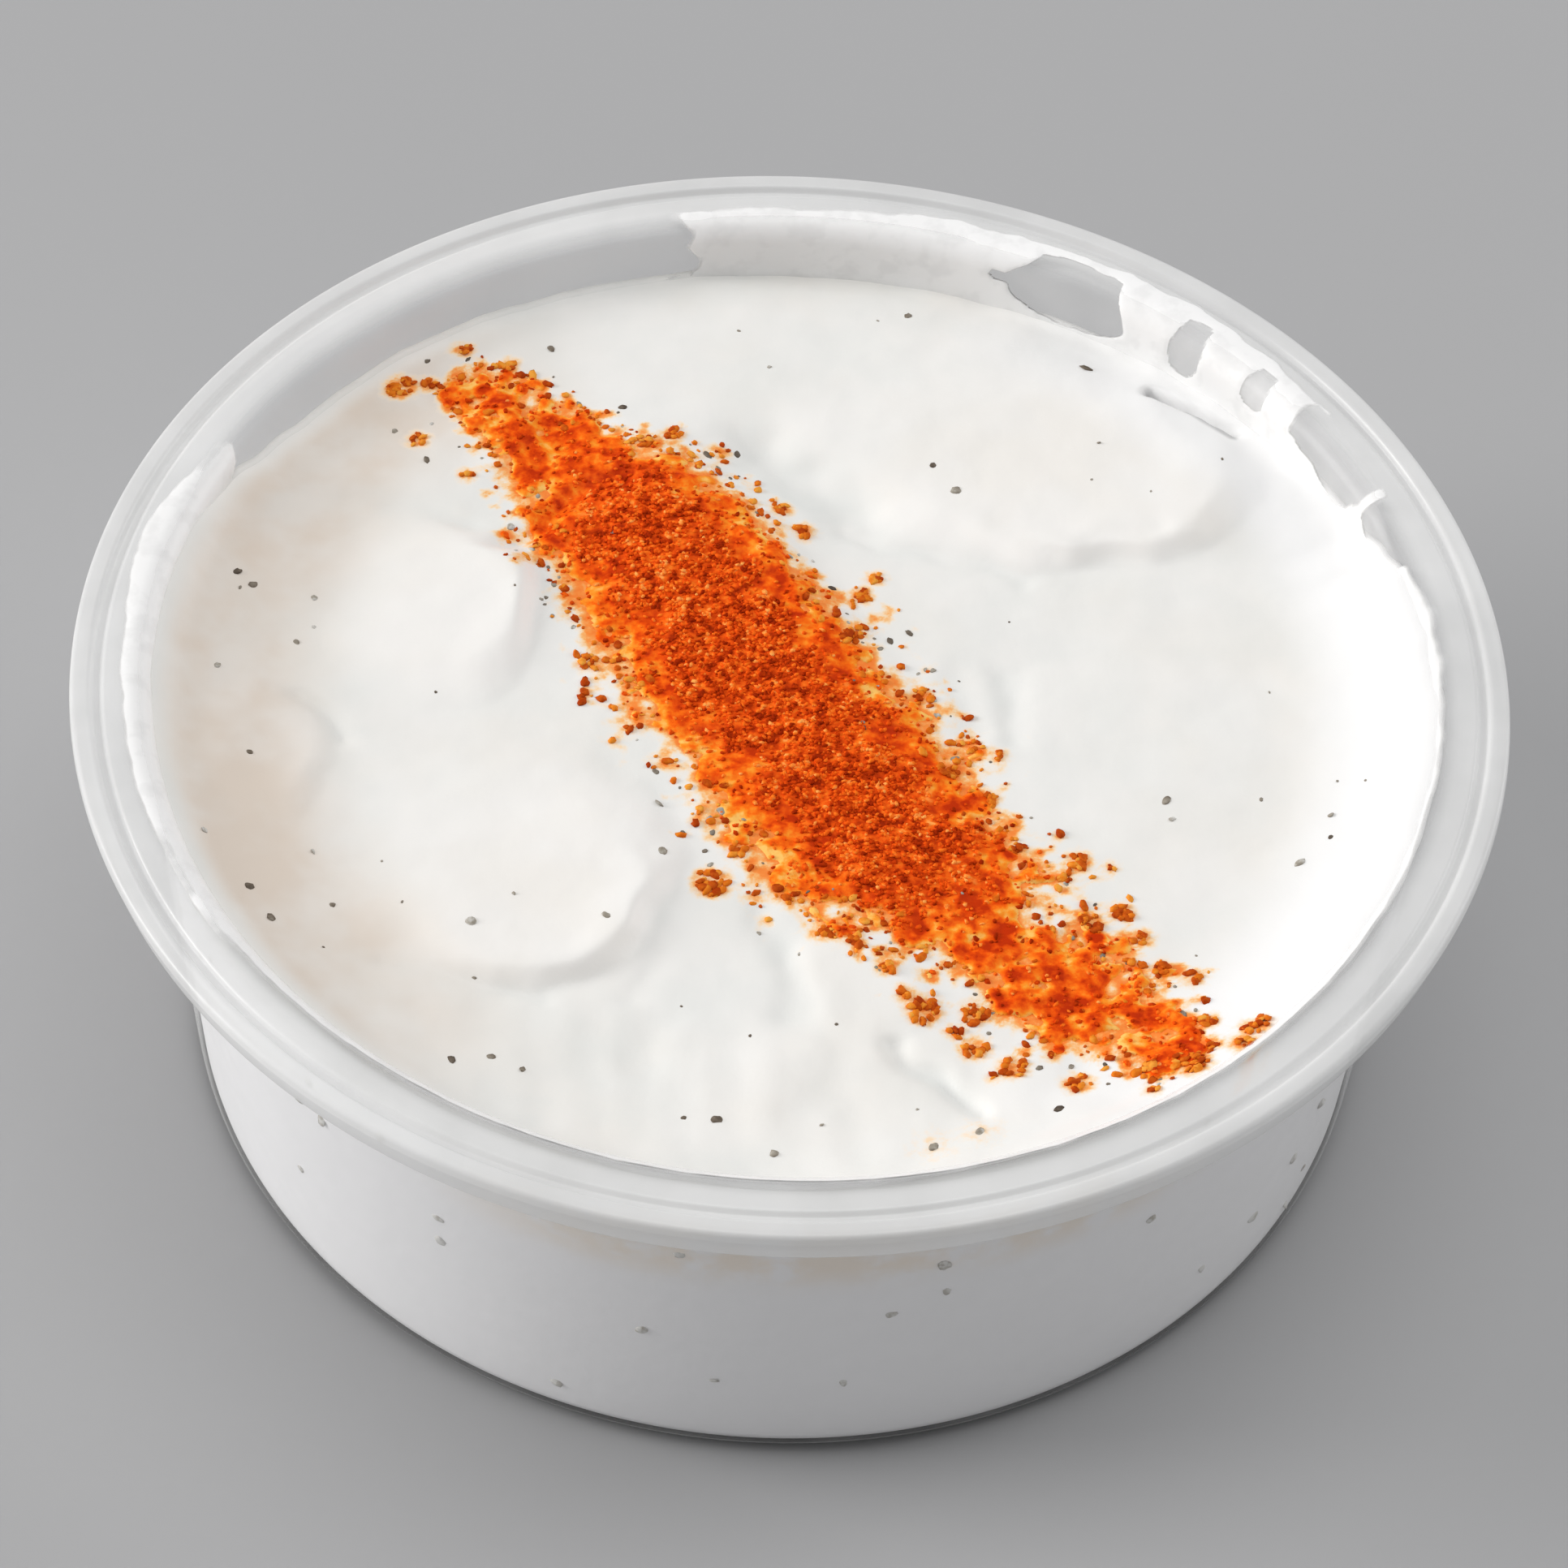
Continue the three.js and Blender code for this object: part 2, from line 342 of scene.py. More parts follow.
def dryness(x, y):
    """Where the powder lies thick and dry, along the middle: 1, and 0 where it has soaked up moisture."""
    off, along = spice_off(x, y)
    reach = smooth_step((along + 33.0) / 9.0) * smooth_step((26.0 - along) / 9.0)
    return reach * smooth_step((0.72 - off + 0.3 * ripple(x, y, 3.0, 24)) / 0.3)


# Building meshes
def add_object(name, data):
    added = bpy.data.objects.new(name, data)
    bpy.context.scene.collection.objects.link(added)
    return added


def make_object(name, vertices, faces):
    """A smooth-shaded object from points in millimetres."""
    mesh = bpy.data.meshes.new(name)
    mesh.from_pydata((np.asarray(vertices) * MM).tolist(), [], faces)
    mesh.validate()
    mesh.update()
    mesh.polygons.foreach_set("use_smooth", [True] * len(mesh.polygons))
    return add_object(name, mesh)


def store(piece, name, values):
    """Store a number for each point of a piece, which its material reads by name."""
    layer = piece.data.attributes.new(name, "FLOAT", "POINT")
    layer.data.foreach_set("value", np.asarray(values, np.float32))


def grid_faces(rows, columns, start=0, closed=False, flip=False):
    """Four-sided faces over a grid of points, row by row."""
    faces = []
    last = columns if closed else columns - 1
    for r in range(rows - 1):
        for c in range(last):
            a = start + r * columns + c
            b = start + r * columns + (c + 1) % columns
            face = (a, b, b + columns, a + columns)
            faces.append(face[::-1] if flip else face)
    return faces


def layer_cells(shown):
    """Cells of a grid, closed round its columns, whose corners are shown or next to a shown point."""
    near = shown | np.roll(shown, 1, 1) | np.roll(shown, -1, 1)
    near[1:] |= shown[:-1]
    near[:-1] |= shown[1:]
    pairs = near & np.roll(near, -1, 1)
    return set(map(tuple, np.argwhere(pairs[:-1] & pairs[1:]).tolist()))


def closed_layer(name, top, under, shown):
    """A closed layer between two grids of points where shown, and the row and column of its points."""
    columns = shown.shape[1]
    cells = layer_cells(shown)
    used = {}
    points, faces = [], []

    def vertex(row, column, grid):
        key = (row, column % columns, grid is under)
        if key not in used:
            used[key] = len(points)
            points.append(grid[key[:2]])
        return used[key]

    for r, c in sorted(cells):
        loop = ((r, c), (r, c + 1), (r + 1, c + 1), (r + 1, c))
        faces.append(tuple(vertex(*p, top) for p in loop))
        faces.append(tuple(vertex(*p, under) for p in loop[::-1]))
        beside = ((r - 1, c), (r, (c + 1) % columns), (r + 1, c), (r, (c - 1) % columns))
        for a, b, neighbour in zip(loop, loop[1:] + loop[:1], beside):
            if neighbour not in cells:
                faces.append((vertex(*b, top), vertex(*a, top), vertex(*a, under), vertex(*b, under)))
    places = np.array([key[:2] for key in used])
    return make_object(name, points, faces), places[:, 0], places[:, 1]


def rounded_path(corners):
    """Points along a section whose corners are (radius, height, fillet, steps)."""
    path = []
    for i, (x, z, fillet, steps) in enumerate(corners):
        here = np.array([x, z])
        if fillet == 0 or i in (0, len(corners) - 1):
            path.append(here)
            continue
        back = np.array(corners[i - 1][:2]) - here
        ahead = np.array(corners[i + 1][:2]) - here
        back_length = np.linalg.norm(back)
        ahead_length = np.linalg.norm(ahead)
        angle = math.acos(np.clip(back @ ahead / (back_length * ahead_length), -1, 1))
        cut = min(fillet / math.tan(angle / 2), 0.49 * back_length, 0.49 * ahead_length)
        start = here + back / back_length * cut
        end = here + ahead / ahead_length * cut
        for k in range(steps + 1):
            t = k / steps
            path.append(start * (1 - t) ** 2 + here * 2 * t * (1 - t) + end * t**2)
    return path


def tub_section():
    """Half section of the tub, from the axis under the floor, round the rim and back to the axis."""
    underside = TUB_HEIGHT - FLANGE
    skirt_bottom = TUB_HEIGHT - SKIRT_DROP
    skirt_outer = RIM_RADIUS - SKIRT_LEAN
    ledge = TUB_HEIGHT - LEDGE_DROP
    inner_ledge = wall_outer(WALL_TOP) - WALL
    return rounded_path([
        (0, FOOT_HEIGHT, 0, 1),
        (FOOT_INNER - FOOT_SLOPE, FOOT_HEIGHT, 0.5, 4),
        (FOOT_INNER, 0, 0.4, 4),
        (BASE_RADIUS, 0, CORNER, 12),
        (wall_outer(underside), underside, 0.8, 5),
        (skirt_outer - SKIRT_ROOT, underside, 0.5, 4),
        (skirt_outer - SKIRT_THICKNESS, skirt_bottom, 0.25, 3),
        (skirt_outer, skirt_bottom, 0.3, 4),
        (RIM_RADIUS, TUB_HEIGHT - BEAD_HEIGHT, 0.5, 4),
        (RIM_RADIUS - BEAD_LEAN, TUB_HEIGHT, 0.6, 6),
        (BEAD_INNER, TUB_HEIGHT, 0.5, 4),
        (GROOVE_OUTER, TUB_HEIGHT - GROOVE_DEPTH, 0.2, 3),
        (GROOVE_INNER, TUB_HEIGHT - GROOVE_DEPTH, 0.2, 3),
        (LEDGE_OUTER, ledge, 0.4, 4),
        (inner_ledge, ledge, LEDGE_ROUNDING, 12),
        (wall_outer(FLOOR_TOP) - WALL, FLOOR_TOP, CORNER - WALL, 8),
        (0, FLOOR_TOP, 0, 1),
    ])


def revolve(name, section, steps):
    """A closed body of revolution from a section that starts and ends on the axis."""
    ring = section[1:-1]
    turns = np.linspace(0, 2 * math.pi, steps, endpoint=False)
    points = [(0, 0, section[0][1])]
    for radius, z in ring:
        points.extend((radius * math.cos(a), radius * math.sin(a), z) for a in turns)
    points.append((0, 0, section[-1][1]))
    faces = grid_faces(len(ring), steps, start=1, closed=True)
    last_ring = 1 + (len(ring) - 1) * steps
    for k in range(steps):
        faces.append((0, 1 + (k + 1) % steps, 1 + k))
        faces.append((len(points) - 1, last_ring + k, last_ring + (k + 1) % steps))
    return make_object(name, points, faces)


def disc_grid(count):
    """An even grid of points over a disc of radius 1, from a square grid."""
    line = np.linspace(-1, 1, count)
    a, b = np.meshgrid(line, line)
    wide = np.abs(a) > np.abs(b)
    radius = np.where(wide, a, b)
    safe = np.where(radius == 0, 1.0, radius)
    angle = np.where(wide, math.pi / 4 * b / safe, math.pi / 2 - math.pi / 4 * a / safe)
    return radius * np.cos(angle), radius * np.sin(angle)


def square_rim(count):
    """Indices of the points round the edge of a square grid, in order."""
    index = np.arange(count * count).reshape(count, count)
    sides = (index[0], index[1:, -1], index[-1, -2::-1], index[-2:0:-1, 0])
    return np.hstack(sides).tolist()


def build_dip():
    """The dip: a fine surface with its folds, and the side and floor that fill the tub."""
    count = 262
    side_rows = 26
    corner_rows = 4
    fitted_from, fitted_band = 0.93, 0.07
    unit_x, unit_y = disc_grid(count)
    rest = wall_outer(TUB_HEIGHT - OPEN_LEVEL) - WALL + WETTING
    x = (unit_x * rest).ravel()
    y = (unit_y * rest).ravel()
    z = dip_surface(x, y)
    rim = square_rim(count)
    on_rim = np.array(rim)
    grow = (wall_inner(z) + WETTING) / rest
    share = smooth_step((np.hypot(x, y) / rest - fitted_from) / fitted_band)
    x = x * (1 + (grow - 1) * share)
    y = y * (1 + (grow - 1) * share)
    z = z - spice_bed_sink(x, y)
    points = np.stack([x, y, z], 1)
    faces = grid_faces(count, count)

    bottom = FOOT_HEIGHT + UNDERSIDE_LIFT
    corner = UNDERSIDE_CORNER
    angle = np.arctan2(y[on_rim], x[on_rim])
    top = z[on_rim]
    rings = []
    for row in range(1, side_rows + 1):
        level = top + (bottom + corner - top) * row / side_rows
        rings.append((wall_inner(level) + WETTING, level))
    for row in range(1, corner_rows + 1):
        bend = math.pi / 2 * row / corner_rows
        radius = wall_inner(bottom + corner) + WETTING - corner + corner * math.cos(bend)
        rings.append((radius, np.full(len(rim), bottom + corner - corner * math.sin(bend))))
    below = [np.stack([r * np.cos(angle), r * np.sin(angle), level], 1) for r, level in rings]
    start = len(points)
    points = np.vstack([points] + below)
    size = len(rim)
    for k in range(size):
        faces.append((rim[k], start + k, start + (k + 1) % size, rim[(k + 1) % size]))
    faces += grid_faces(len(rings), size, start=start, closed=True, flip=True)
    last = start + (len(rings) - 1) * size
    middle = len(points)
    points = np.vstack([points, [[0.0, 0.0, bottom]]])
    faces += [(last + (k + 1) % size, last + k, middle) for k in range(size)]

    piece = make_object("dip_surface", points, faces)
    store_dip_marks(piece, points)
    return piece


def store_dip_marks(piece, points):
    """What the dip's material reads at each point, by its depth, its distance out and its direction."""
    x, y, height = points.T
    below_rim = TUB_HEIGHT - height
    reach = np.hypot(x, y)
    run = np.degrees(np.arctan2(y, x))
    upper = below_rim < 8.0
    store(piece, "cover", np.where(upper, np.maximum(spice_cover(x, y), clump_stain(x, y)), UNSTAINED))
    store(piece, "lift", dip_relief(x, y))
    store(piece, "side", smooth_step((below_rim - 6.2) / 1.5))
    # Painted warm shade in a band on the front of the dip's side, 7 to 17 mm below the rim
    front = smooth_step((run + 125.0) / 25.0) * smooth_step((-40.0 - run) / 25.0)
    band = smooth_step((17.0 - below_rim) / 4.0) * smooth_step((below_rim - 7.0) / 1.5)
    store(piece, "flange_shade", band * front * (reach > 50.0))
    left = smooth_step((np.abs(run) - 112.0) / 30.0)
    near_wall = smooth_step((reach - 35.0) / 9.0) * smooth_step((51.5 - reach) / 2.5)
    store(piece, "shade", near_wall * left * upper)
    # Painted light on the dip where it climbs the right wall
    right = smooth_step((80.0 - np.abs(run - 3.0)) / 35.0)
    store(piece, "right_wall_light", smooth_step((reach - 40.0) / 7.0) * right * upper)
    # Painted shadow inside the cut
    store(piece, "cut", valley_depth(CUT, x, y) / CUT[2] * upper)


def spice_bed_sink(x, y):
    """The dip lies a little lower under the spice, so that it never shows through the powder."""
    return 0.1 * smooth_step((spice_cover(x, y) - 0.3) / 0.3)


def bed_thickness(x, y, cover):
    """How far the powder stands over the dip, with its packed grains, and the tone of each grain."""
    coarse, coarse_tone = pebbles(x, y, 0.8, 31)
    fine, fine_tone = pebbles(x, y, 0.42, 32)
    dry = dryness(x, y)
    clods = 0.16 * ripple(x, y, 2.3, 33) + 0.08 * ripple(x, y, 1.1, 34)
    heap = 0.3 * smooth_step((cover - 0.08) / 0.7) + clods * smooth_step((cover - 0.05) / 0.3)
    grains = (0.09 + 0.04 * dry) * coarse + (0.04 + 0.09 * dry) * fine
    body = heap + grains * smooth_step((cover + 0.02) / 0.3) - 0.07
    clouds = (0.34 * ripple(x, y, 2.1, 35) + 0.16 * ripple(x, y, 4.2, 36)) * (1.0 - 0.45 * dry)
    speckle = 0.5 * ripple(x, y, 0.9, 37) + 0.5 * (0.5 * coarse_tone + 0.5 * fine_tone - 0.5)
    return body, 0.56 - 0.1 * dry + speckle * (0.55 + 0.35 * dry) + clouds


def build_bed():
    """The powder of the stripe as a thin closed layer, sunk into the dip where it thins out."""
    step = 0.24
    length, width = 53.0, 13.5
    thinnest = 0.02
    sunk = 0.35
    wall_gap = 0.4
    grid = np.meshgrid(np.arange(-length, length, step), np.arange(-width, width, step))
    x, y = stripe_place(*grid)
    cover = spice_cover(x, y)
    thickness, tone = bed_thickness(x, y, cover)
    surface = dip_surface(x, y) - spice_bed_sink(x, y)
    shown = (thickness > thinnest) & (np.hypot(x, y) < wall_inner(surface) - wall_gap)
    top = np.stack([x, y, surface + thickness], 2)
    under = np.stack([x, y, surface - sunk], 2)
    piece, row, column = closed_layer("spice_bed", top, under, shown)
    store(piece, "cover", cover[row, column])
    store(piece, "tone", tone[row, column])
    store(piece, "dry", dryness(x, y)[row, column])
    return piece


# Loose grains, flecks and specks
def pebble_shape(detail):
    """Points and faces of a unit ball made of triangles."""
    ball = bmesh.new()
    bmesh.ops.create_icosphere(ball, subdivisions=detail, radius=1.0)
    points = np.array([v.co[:] for v in ball.verts])
    faces = np.array([[v.index for v in f.verts] for f in ball.faces])
    ball.free()
    return points, faces


def dip_normals(x, y):
    """Which way the dip's surface faces at each place."""
    step = 0.2
    slope_x = (dip_surface(x + step, y) - dip_surface(x - step, y)) / (2 * step)
    slope_y = (dip_surface(x, y + step) - dip_surface(x, y - step)) / (2 * step)
    normal = np.stack([-slope_x, -slope_y, np.ones_like(slope_x)], 1)
    return normal / np.linalg.norm(normal, axis=1, keepdims=True)


def scatter(name, places, sizes, tones, seed, normals=None, detail=1, *, flat, long, rough, sunk):
    """Irregular grains joined into one mesh: each turned at random and pressed into what is below it."""
    rng = np.random.default_rng(seed)
    shape, faces = pebble_shape(detail)
    if normals is None:
        normals = dip_normals(places[:, 0], places[:, 1])
    all_points, all_faces, all_tones = [], [], []
    for k in range(len(places)):
        jitter = 1.0 + rough * rng.uniform(-1, 1, (len(shape), 1))
        stretch = np.array([rng.uniform(1.0, long), 1.0, rng.uniform(flat * 0.8, min(1.0, flat * 1.3))])
        points = shape * jitter * stretch * sizes[k] / 2
        spin = Matrix.Rotation(rng.uniform(0, 2 * math.pi), 3, "Z")
        tilt = Matrix.Rotation(rng.normal(0, 0.25), 3, "X")
        up = Vector(normals[k]).to_track_quat("Z", "Y").to_matrix()
        turned = points @ np.array(up @ tilt @ spin).T
        lift = sizes[k] / 2 * flat * (1 - 2 * sunk)
        turned += places[k] + normals[k] * lift
        all_points.append(turned)
        all_faces.append(faces + k * len(shape))
        all_tones.append(np.full(len(shape), tones[k]))
    piece = make_object(name, np.vstack(all_points), np.vstack(all_faces).tolist())
    store(piece, "tone", np.hstack(all_tones))
    return piece


def on_top(x, y):
    """Places on whatever is on top: the powder where it lies, or else the dip."""
    cover = spice_cover(x, y)
    thickness, _ = bed_thickness(x, y, cover)
    bare = dip_surface(x, y) - spice_bed_sink(x, y)
    return np.stack([x, y, bare + np.maximum(thickness, 0.0)], 1)


def pick_places(count, seed, chance):
    """Places round the stripe, kept by a chance that depends on the cover of spice there."""
    batch = 4000
    rng = np.random.default_rng(seed)
    found_x, found_y = [], []
    while len(found_x) < count:
        along = rng.uniform(-52.0, 52.0, batch)
        across = rng.uniform(-20.0, 20.0, batch)
        x, y = stripe_place(along, across)
        keep = rng.uniform(0, 1, batch) < chance(spice_cover(x, y), x, y)
        keep &= np.hypot(x, y) < wall_inner(TUB_HEIGHT - 6.0) - 0.8
        found_x.extend(x[keep])
        found_y.extend(y[keep])
    return np.array(found_x[:count]), np.array(found_y[:count])


def build_grains():
    """Loose fine grains, thickest over the dry powder in the middle."""
    count = 7000
    x, y = pick_places(
        count, 41, lambda cover, wx, wy: np.clip(0.12 + 0.9 * dryness(wx, wy), 0, 1) * (cover > 0.05)
    )
    rng = np.random.default_rng(42)
    sizes = rng.uniform(0.2, 0.46, count)
    _, bed_tones = bed_thickness(x, y, spice_cover(x, y))
    tones = np.clip(bed_tones + rng.normal(-0.03, 0.22, count), 0.0, 0.85)
    return scatter(
        "spice_grains", on_top(x, y), sizes, tones, 43, flat=0.7, long=1.8, rough=0.34, sunk=0.42
    )


# Moist clumps of spice that stand apart in the photo: place and size in millimetres
CLUMPS = (
    (18.5, -15, 1.3), (23.5, -16, 2.2), (22.5, -17.5, 1.5), (27, -21, 1.8), (28.5, -23.5, 1.8),
    (24.5, -22, 2.4), (30, -26.5, 1.5), (32.5, -27.5, 1.8), (33.5, -32.5, 1.5), (34, -35.5, 1.3),
    (37, -34, 2.4), (36, -36, 2.2), (32, -37.5, 3.4), (29, -37.5, 1.5), (29, -40.5, 1),
    (23.5, -39, 2.3), (18.5, -37.5, 2.4), (15.5, -35.5, 2.4), (11.5, -32, 3), (10, -30.5, 1.4),
    (15.5, -32, 2.3), (14, -34, 1.3), (17, -38.5, 0.8), (8, -26.5, 1.2), (8.5, -28, 1.6),
    (3.5, -24.5, 2.2), (6, -25.5, 1.6), (21.5, -36, 1), (-29.5, 39, 1.9), (-34.5, 34, 3),
    (-32, 34.5, 1.8), (-25.5, 37, 1.9), (-32.5, 27.5, 1.8), (-28, 23.5, 1.2), (-13.5, 28, 1.9),
    (-11, 29.5, 1.7), (-1.5, 21.5, 1.6), (0.5, 19, 1.7), (6.5, 14, 1.4), (5.5, 12, 1.8),
    (1.5, 11.5, 1.1), (4.5, 7, 2), (5.5, 7.5, 1.3), (10.5, 1, 2.2), (17, -5, 1.2), (16.5, -9.5, 1.3),
    (13, -7, 1.9), (-5.5, -20, 3.2), (-3.5, -16.5, 1.8), (-16.5, 3, 2), (-13, -4, 1), (26, -16.5, 0.8),
)


def clump_parts():
    """Each clump as a cluster of small lumps: their places and sizes."""
    rng = np.random.default_rng(55)
    parts = []
    for x, y, size in CLUMPS:
        squash = rng.uniform(0.55, 0.95)
        lie = rng.uniform(0.0, math.pi)
        for _ in range(2 + round(2.2 * size * size)):
            away = 0.44 * size * math.sqrt(rng.uniform(0.0, 1.0))
            angle = rng.uniform(0.0, 2.0 * math.pi)
            a = away * math.cos(angle)
            b = away * math.sin(angle) * squash
            part = rng.uniform(0.3, 0.72) * min(1.0, 0.55 + 0.3 * size)
            part_x = x + a * math.cos(lie) - b * math.sin(lie)
            part_y = y + a * math.sin(lie) + b * math.cos(lie)
            parts.append((part_x, part_y, part))
    return np.array(parts)


def build_flecks():
    """Flecks and moist clumps of spice that lie apart along both edges of the stripe."""
    parts = clump_parts()
    small = 520
    small_x, small_y = pick_places(small, 51, lambda cover, wx, wy: bell(cover, -0.15, 0.4))
    rng = np.random.default_rng(52)
    x = np.hstack([parts[:, 0], small_x])
    y = np.hstack([parts[:, 1], small_y])
    sizes = np.hstack([parts[:, 2], 0.25 + 0.5 * rng.uniform(0, 1, small) ** 2.0])
    tones = rng.uniform(0.0, 1.0, len(x))
    return scatter(
        "spice_flecks", on_top(x, y), sizes, tones, 53, detail=2, flat=0.55, long=1.7, rough=0.25, sunk=0.35
    )


# Specks at the front with a pale stain round them, and the spice cover that leaves no stain
STAINED_SPECKS = ((12.5, -46.0), (16.0, -44.5))
UNSTAINED = -5.0


def clump_stain(x, y):
    """What the moist clumps and two specks bleed into the dip, on the scale of the spice cover."""
    stain = np.full_like(x, UNSTAINED)
    for speck_x, speck_y in STAINED_SPECKS:
        apart = np.hypot(x - speck_x, y - speck_y)
        stain = np.maximum(stain, -0.42 - 0.2 * np.maximum(apart - 0.4, 0.0))
    for clump_x, clump_y, size in CLUMPS:
        edge = np.hypot(x - clump_x, y - clump_y) - 0.45 * size
        stain = np.maximum(stain, -0.22 - 0.7 * np.maximum(edge, -0.2))
    return stain


# Dark specks that show one by one in the photo: place and size in millimetres
SHOWN_SPECKS = (
    (-22, 39.5, 0.8), (24, 40.5, 1), (13, 24, 1.1), (11, 27, 0.7), (30.5, -9, 0.8), (31, -11, 0.6),
    (43.5, -10.5, 0.6), (43.5, -13, 0.5), (41, -15.5, 0.8), (-46.5, -0.5, 0.7), (-46, 10, 0.8),
    (-44.5, 9, 0.8), (-39.5, 8.5, 0.7), (-40.5, 3.5, 0.7), (-43, -9.5, 0.6), (-45.5, -19, 0.7),
    (-41.5, -24, 1), (-39.5, -27, 0.9), (-37, -19, 0.6), (-35, -24.5, 0.6), (-24, -26, 1.1),
    (-13.5, -25, 0.7), (-24.5, -39.5, 0.7), (-21.5, -39, 0.7), (-19, -40, 0.6), (-4, -44, 0.9),
    (-6.5, -44, 0.5), (0.5, -47, 0.9), (4, -44, 0.5), (12.5, -46, 0.9), (16, -44.5, 0.9),
    (22, -42, 0.8), (8.5, 46, 0.8), (25, 30.5, 0.5), (-10, -12, 0.9), (-9.5, -17.5, 0.9),
    (-5, -12.5, 0.9), (-6, -13.5, 0.7), (-10.5, -8.5, 0.6), (-8, -15, 0.5), (31.5, -31.5, 1),
    (-32.5, 37.5, 0.6), (-34.5, 28.5, 0.7), (-31.5, 29.5, 0.5), (-31.5, 25, 0.7), (-24, 18, 0.8),
    (-15.5, 32.5, 0.7), (-8, 27.5, 0.8), (-5.5, 28.5, 0.7), (-7, 26, 0.6), (-0.5, 15.5, 0.6),
    (3, 12.5, 0.6), (-20.5, 13.5, 0.5), (-20, 11.5, 0.6), (-20.5, 10, 0.5), (8, 7, 0.7), (9.5, 8, 0.6),
    (11.5, 4, 0.6), (12, -1, 0.6), (13.5, -5.5, 0.6), (20.5, -37.5, 0.6), (23, -37, 0.6),
)


def build_specks():
    """Dark flecks of herb and pepper: those that stand out, some sprinkled with the spice, a few more."""
    rng = np.random.default_rng(61)
    shown = np.array(SHOWN_SPECKS)
    shown_share = 0.8
    near = 60
    near_x, near_y = pick_places(near, 62, lambda cover, wx, wy: bell(cover, -0.55, 0.5))
    strewn = 40
    radius = 47.0 * np.sqrt(rng.uniform(0, 1, strewn))
    angle = rng.uniform(0, 2 * math.pi, strewn)
    x = np.hstack([shown[:, 0], near_x, radius * np.cos(angle)])
    y = np.hstack([shown[:, 1], near_y, radius * np.sin(angle)])
    near_sizes = rng.uniform(0.2, 0.42, near)
    strewn_sizes = rng.uniform(0.2, 0.36, strewn)
    sizes = np.hstack([shown_share * shown[:, 2], near_sizes, strewn_sizes])
    tones = 0.9 * rng.uniform(0, 1, len(x)) ** 0.7
    places = on_top(x, y)
    normals = dip_normals(x, y)

    on_wall = 64
    turn = rng.uniform(-math.pi, math.pi, on_wall)
    level = rng.uniform(3.0, TUB_HEIGHT - 6.5, on_wall)
    out = np.stack([np.cos(turn), np.sin(turn), np.zeros(on_wall)], 1)
    pressed = out * (wall_inner(level) + WETTING)[:, None]
    pressed[:, 2] = level
    places = np.vstack([places, pressed])
    normals = np.vstack([normals, out])
    sizes = np.hstack([sizes, rng.uniform(0.5, 1.1, on_wall)])
    tones = np.hstack([tones, rng.uniform(0.9, 1.0, on_wall)])
    return scatter(
        "herb_specks", places, sizes, tones, 63, normals, detail=2, flat=0.3, long=1.7, rough=0.18, sunk=0.5
    )


# Windows left in the smear on the wall: middle angle and half width in degrees, middle drop and half
# height in millimetres, squareness, and the thickness of the film that is left in them
WINDOWS = (
    (129.5, 28.5, 2.6, 3.9, 4, -0.06),
    (87.5, 13.6, 2.2, 2.9, 5, 0.044),
    (64.4, 6.4, 2.5, 2.8, 2.4, -0.06),
    (71, 1.8, 2.1, 0.6, 2, -0.03),
    (51.2, 2.1, 2.2, 2.5, 2.6, 0.013),
    (42.6, 1.8, 1.4, 1.6, 2.5, 0.02),
    (31.5, 6.8, 0.8, 1.9, 3, 0.011),
    (30, 3.4, 2.3, 1.6, 2, 0.011),
    (20.7, 4.3, 1, 2.2, 2.6, 0.011),
)

# How far out over the ledge the smear reaches, in millimetres, by angle in degrees
SMEAR_REACH = (
    (-180, 0.9), (-150, 0.4), (-120, 0), (-60, 0), (-25, 0), (10, 0.2), (18, 0), (26, 0.7),
    (36, 1.4), (50, 1.9), (75, 1.7), (92, 0.9), (125, 0.3), (157, 0.3), (168, 1.7), (174, 1.5),
    (180, 0.9),
)

# The smear: its usual thickness, the share it loses on the ledge, the width over which it ends there,
# the lowest its face goes, and the thickness from which it is meshed
FILM_THICKNESS = 0.11
FILM_LEDGE_LOSS = 0.3
FILM_FADE = 0.9
FILM_LOWEST = -0.06
FILM_FROM = -0.01


def film_thickness(angle, drop):
    """Thickness of the smear, by degrees and by the drop below the rim, counted on over the ledge."""
    run = np.radians(angle) * NECK_RADIUS
    uneven = 0.025 * ripple(run, drop * 0.6, 5.0, 71) + 0.015 * ripple(run, drop * 0.4, 1.7, 72)
    thickness = (FILM_THICKNESS + uneven) * (1.0 - FILM_LEDGE_LOSS * smooth_step((1.2 - drop) / 1.5))
    wander = 0.1 * ripple(run, drop, 3.2, 74) + 0.05 * ripple(run, drop, 1.3, 75)
    faint = 0.0015 * ripple(run, drop * 0.5, 2.0, 76) + 0.0005 * ripple(run, drop * 0.3, 0.8, 77)
    for middle, half, low, tall, square, left in WINDOWS:
        apart = (angle - middle + 180.0) % 360.0 - 180.0
        off = (np.abs(apart / half) ** square + np.abs((drop - low) / tall) ** square) ** (1 / square)
        inside = smooth_step((1.04 - off + wander) / 0.14)
        thickness = thickness + (np.minimum(left + faint, thickness) - thickness) * inside
    reach = table_value(SMEAR_REACH, angle, 1)
    ragged = (0.08 + 0.2 * reach) * (ripple(run, drop, 3.0, 78) + 0.3 * ripple(run, drop, 1.1, 79))
    shown = smooth_step((drop - LEDGE_DROP + reach + ragged) / FILM_FADE)
    return thickness * shown - 0.02 * (1 - shown)


def smear_base(drop):
    """Where the smear lies: radius and height of the plastic, and its facing, outward and up."""
    z = TUB_HEIGHT - np.maximum(drop, LEDGE_DROP)
    rise = np.clip((z - WALL_TOP) / LEDGE_ROUNDING, 0.0, 1.0)
    radius = wall_inner(z) + np.maximum(LEDGE_DROP - drop, 0.0)
    return radius, z, -np.sqrt(1.0 - rise * rise), rise


